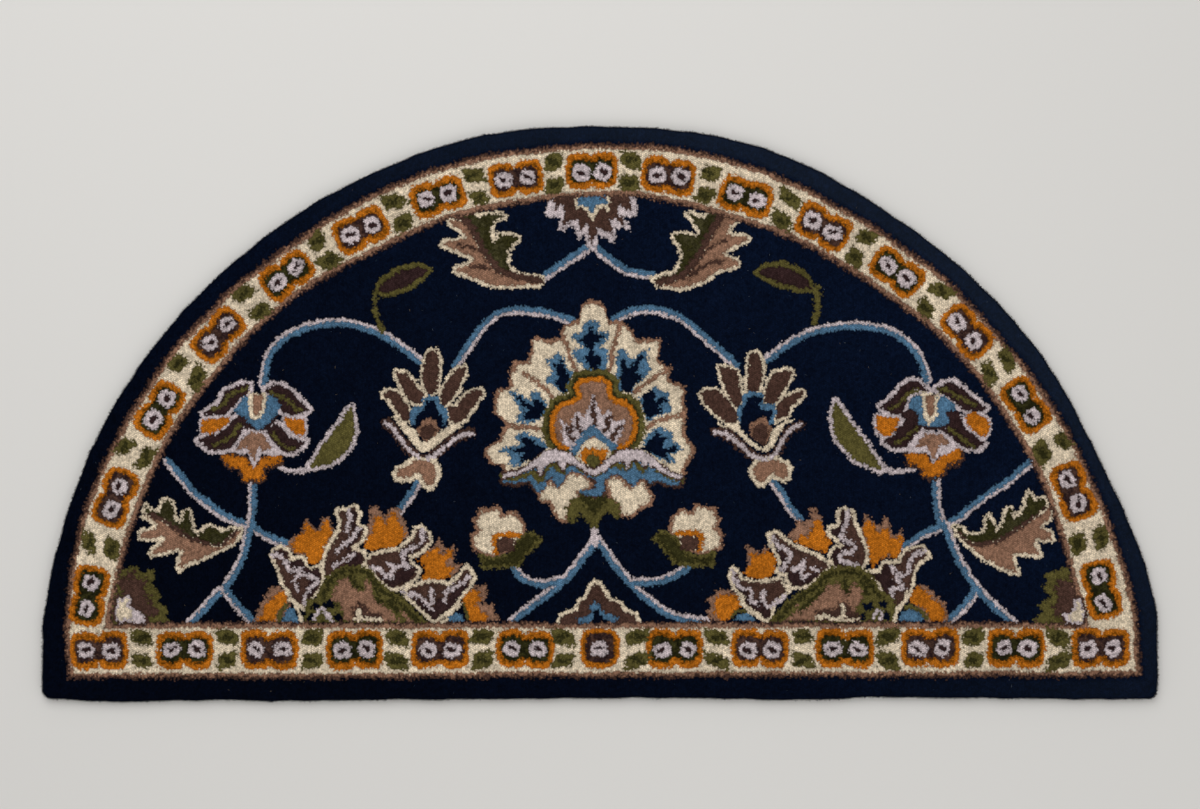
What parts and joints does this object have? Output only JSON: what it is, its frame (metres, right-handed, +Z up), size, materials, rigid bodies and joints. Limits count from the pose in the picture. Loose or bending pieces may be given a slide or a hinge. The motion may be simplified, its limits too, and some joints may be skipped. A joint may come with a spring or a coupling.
{
  "type": "hearth rug",
  "caption": "Half-round tufted wool hearth rug lying flat, with a straight edge, an arched edge and a flower and vine pattern in its cut pile.",
  "frame": {"origin": "middle of the rug's footprint box, on the surface that the rug lies on", "axes": "+X along the straight edge, from the left foot to the right foot; +Y from the straight edge towards the crown of the arc; +Z up, out of the pile"},
  "size_m": [1.371, 0.7072, 0.0124],
  "materials": {
    "wool_pile": "matte cut wool pile, navy ground with cream, orange, brown, green, blue and lilac yarns"
  },
  "bodies": {
    "root": {"rug_body": "wool_pile"}
  },
  "joints": []
}
